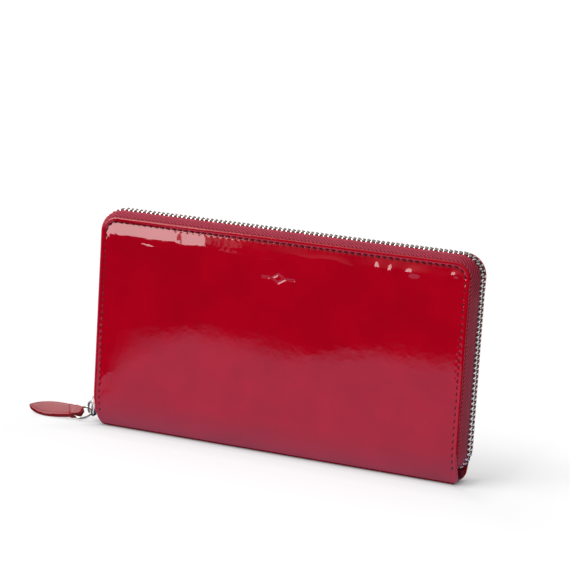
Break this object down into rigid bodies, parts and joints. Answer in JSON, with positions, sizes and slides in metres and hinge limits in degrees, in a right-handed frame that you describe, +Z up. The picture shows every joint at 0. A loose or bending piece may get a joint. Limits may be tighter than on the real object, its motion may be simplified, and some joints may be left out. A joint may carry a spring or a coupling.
{
  "type": "zip around wallet",
  "caption": "Long zip around wallet in red patent leather, standing on its spine fold, with card slots, a coin pocket and a leather leaf pull.",
  "frame": {"origin": "centre of the spine fold's flat underside", "axes": "+X along the spine, away from the closed end of the zip; -Y out of the front cover; +Z up"},
  "size_m": [0.2324, 0.02, 0.1083],
  "materials": {
    "patent_leather": "high gloss patent",
    "board": "matt",
    "lining": "fine twill",
    "inner_leather": "fine grain, semi matt",
    "zip_tape": "woven twill",
    "zip_teeth": "polished nickel",
    "thread": "waxed thread",
    "gusset_cloth": "fine cloth",
    "leaf_leather": "high gloss patent",
    "slider_metal": "polished nickel",
    "small_metal": "polished nickel"
  },
  "bodies": {
    "spine": {"spine_leather": "patent_leather", "spine_board": "board", "spine_lining": "lining", "front_left_gusset": "gusset_cloth", "front_right_gusset": "gusset_cloth", "back_left_gusset": "gusset_cloth", "back_right_gusset": "gusset_cloth", "coin_front_wall": "inner_leather", "coin_back_wall": "inner_leather", "coin_base": "inner_leather", "coin_left_binding": "inner_leather", "coin_right_binding": "inner_leather", "coin_front_tape": "zip_tape", "coin_back_tape": "zip_tape", "coin_front_teeth": "zip_teeth", "coin_back_teeth": "zip_teeth"},
    "front_cover": {"front_leather": "patent_leather", "front_board": "board", "front_lining": "lining", "front_card_slot_low": "inner_leather", "front_card_slot_mid": "inner_leather", "front_card_slot_high": "inner_leather", "front_zip_tape": "zip_tape", "front_zip_teeth": "zip_teeth", "front_end_stop": "zip_teeth", "front_stitching": "thread"},
    "back_cover": {"back_leather": "patent_leather", "back_board": "board", "back_lining": "lining", "back_card_slot_low": "inner_leather", "back_card_slot_mid": "inner_leather", "back_card_slot_high": "inner_leather", "back_zip_tape": "zip_tape", "back_zip_teeth": "zip_teeth", "back_end_stop": "zip_teeth", "back_stitching": "thread"},
    "zip_slider": {"zip_slider": "slider_metal"},
    "pull_ring": {"pull_ring": "slider_metal"},
    "pull_leaf": {"pull_leaf": "leaf_leather"},
    "coin_slider": {"coin_slider": "small_metal"},
    "coin_puller": {"coin_puller": "small_metal"}
  },
  "joints": [
    {"name": "front_cover_hinge", "type": "hinge", "parent": "spine", "child": "front_cover", "pos_m": [0, -0.00654, 0.005], "axis": [1, 0, 0], "range_deg": [0, 40], "deforming": ["front_left_gusset", "front_right_gusset"]},
    {"name": "back_cover_hinge", "type": "hinge", "parent": "spine", "child": "back_cover", "pos_m": [0, 0.00654, 0.005], "axis": [-1, 0, 0], "range_deg": [0, 40], "deforming": ["back_left_gusset", "back_right_gusset"]},
    {"name": "slider_travel", "type": "slide", "parent": "back_cover", "child": "zip_slider", "axis": [0, 0, 1], "range_m": [0, 0.07], "deforming": ["front_zip_teeth", "back_zip_teeth"]},
    {"name": "ring_swing", "type": "hinge", "parent": "zip_slider", "child": "pull_ring", "pos_m": [-0.10135, 0, 0.005], "axis": [-0.5736, 0.7362, 0.3591], "range_deg": [-30, 40]},
    {"name": "leaf_swing", "type": "hinge", "parent": "pull_ring", "child": "pull_leaf", "pos_m": [-0.10934, -0.00261, 0.00372], "axis": [-0.0872, 0.8954, 0.4367], "range_deg": [-30, 30]},
    {"name": "coin_slider_travel", "type": "slide", "parent": "spine", "child": "coin_slider", "axis": [1, 0, 0], "range_m": [0, 0.14], "deforming": ["coin_front_teeth", "coin_back_teeth"]},
    {"name": "coin_puller_swing", "type": "hinge", "parent": "coin_slider", "child": "coin_puller", "pos_m": [-0.07, 0, 0.08955], "axis": [0, -1, 0], "range_deg": [0, 170]}
  ],
  "couplings": [
    {"joint": "back_cover_hinge", "follows": "front_cover_hinge", "ratio": 1}
  ]
}
